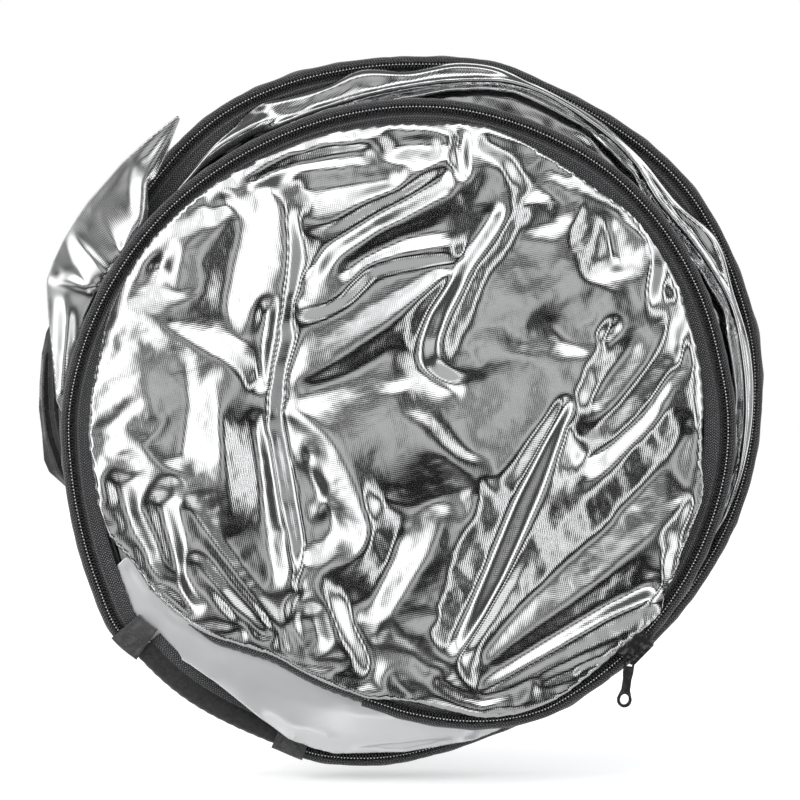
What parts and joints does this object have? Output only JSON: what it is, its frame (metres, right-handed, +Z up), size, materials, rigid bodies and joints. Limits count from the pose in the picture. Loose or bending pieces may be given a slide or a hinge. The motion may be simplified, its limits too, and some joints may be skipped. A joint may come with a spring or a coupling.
{
  "type": "collapsible reflector disc",
  "caption": "Collapsible photographic reflector folded into its coil: wrinkled silver cloth in a black zipped rim over a sprung steel hoop, with slider and hanging pull.",
  "frame": {"origin": "centre of the folded disc's bounding box", "axes": "+Z up in the plane of the disc, +X to the right seen from the silver front, -Y out of the silver front face"},
  "size_m": [0.2914, 0.0532, 0.2844],
  "materials": {
    "silver_cloth": "metallised woven cloth, bright, with a fine weave",
    "black_cloth": "black woven nylon, slight sheen",
    "elastic_cloth": "black knitted elastic",
    "zip_tape": "charcoal herringbone zip tape",
    "satin_binding": "black satin",
    "zip_coil": "black nylon coil, semi-gloss",
    "diffuser_cloth": "translucent white cloth",
    "spring_steel": "blued flat spring steel",
    "ferrule_metal": "plain crimped steel",
    "slider_paint": "black enamel on die-cast zinc, worn bright at the edges"
  },
  "bodies": {
    "front_turn": {"front_black_panel": "black_cloth", "front_diffuser_panel": "diffuser_cloth", "front_hoop_band": "spring_steel", "front_rim_sleeve": "satin_binding", "front_silver_panel": "silver_cloth", "front_zip_coil_inner": "zip_coil", "front_zip_coil_outer": "zip_coil", "front_zip_tape_inner": "zip_tape", "front_zip_tape_outer": "zip_tape", "elastic_gusset": "elastic_cloth", "gusset_inner_tape": "zip_tape", "zip_end_tab_upper": "satin_binding"},
    "middle_turn": {"middle_black_panel": "black_cloth", "middle_diffuser_panel": "diffuser_cloth", "middle_hoop_band": "spring_steel", "middle_rim_sleeve": "satin_binding", "middle_silver_panel": "silver_cloth", "middle_zip_coil_inner": "zip_coil", "middle_zip_coil_outer": "zip_coil", "middle_zip_tape_inner": "zip_tape", "middle_zip_tape_outer": "zip_tape", "silver_side_fold": "silver_cloth", "silver_bottom_fold": "silver_cloth", "zip_end_tab_lower": "satin_binding"},
    "rear_turn": {"rear_black_panel": "black_cloth", "rear_diffuser_panel": "diffuser_cloth", "rear_hoop_band": "spring_steel", "rear_rim_sleeve": "satin_binding", "rear_silver_panel": "silver_cloth", "rear_zip_coil_inner": "zip_coil", "rear_zip_coil_outer": "zip_coil", "rear_zip_tape_inner": "zip_tape", "rear_zip_tape_outer": "zip_tape", "black_side_fold": "black_cloth", "hoop_ferrule": "ferrule_metal"},
    "zip_slider": {"slider_body": "slider_paint", "slider_bridge": "slider_paint"},
    "zip_pull": {"pull_tab": "slider_paint"}
  },
  "joints": [
    {"name": "middle_turn_fan", "type": "hinge", "parent": "front_turn", "child": "middle_turn", "pos_m": [-0.0797, -0.0058, -0.11925], "axis": [-0.829, 0, 0.5592], "range_deg": [0, 14]},
    {"name": "rear_turn_fan", "type": "hinge", "parent": "middle_turn", "child": "rear_turn", "pos_m": [-0.0797, 0.0067, -0.11925], "axis": [-0.829, 0, 0.5592], "range_deg": [0, 14]},
    {"name": "zip_slider_travel", "type": "hinge", "parent": "front_turn", "child": "zip_slider", "pos_m": [0.00026, -0.0164, -0.00069], "axis": [0, -1, 0], "range_deg": [-18, 34]},
    {"name": "pull_swing", "type": "hinge", "parent": "zip_slider", "child": "zip_pull", "pos_m": [0.08997, -0.02065, -0.09772], "axis": [0, -1, 0], "range_deg": [-60, 100]}
  ],
  "couplings": [
    {"joint": "rear_turn_fan", "follows": "middle_turn_fan", "ratio": 1}
  ]
}
